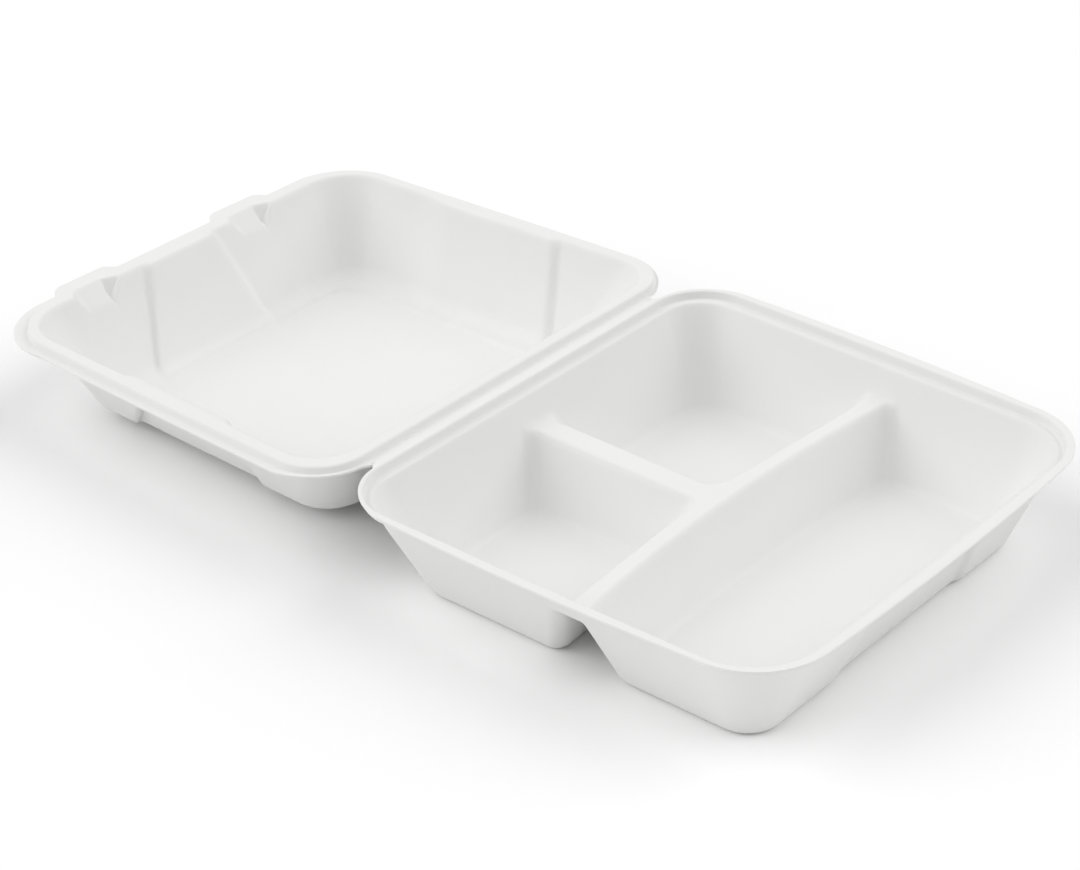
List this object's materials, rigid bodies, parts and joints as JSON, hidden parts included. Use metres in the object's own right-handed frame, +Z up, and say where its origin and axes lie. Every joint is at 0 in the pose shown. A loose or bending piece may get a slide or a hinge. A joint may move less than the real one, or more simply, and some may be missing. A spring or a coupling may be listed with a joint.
{
  "type": "hinged food container",
  "caption": "Moulded-fibre clamshell food container lying open: a base tray divided into compartments and a hinged lid with catch tabs.",
  "frame": {"origin": "on the surface the base stands on, under the middle of the fold; this is also the middle of the open container to within 3 mm", "axes": "+X from the fold toward the front edge of the base, the open lid lies toward -X, +Y along the fold, +Z up"},
  "size_m": [0.444, 0.2342, 0.05],
  "materials": {
    "fibre_base": "matt pressed plant fibre",
    "fibre_lid": "matt pressed plant fibre"
  },
  "bodies": {
    "base": {"base": "fibre_base"},
    "lid": {"lid": "fibre_lid"}
  },
  "joints": [
    {"name": "lid_hinge", "type": "hinge", "parent": "base", "child": "lid", "pos_m": [0, 0, 0.0475], "axis": [0, 1, 0], "range_deg": [0, 180.67]}
  ]
}
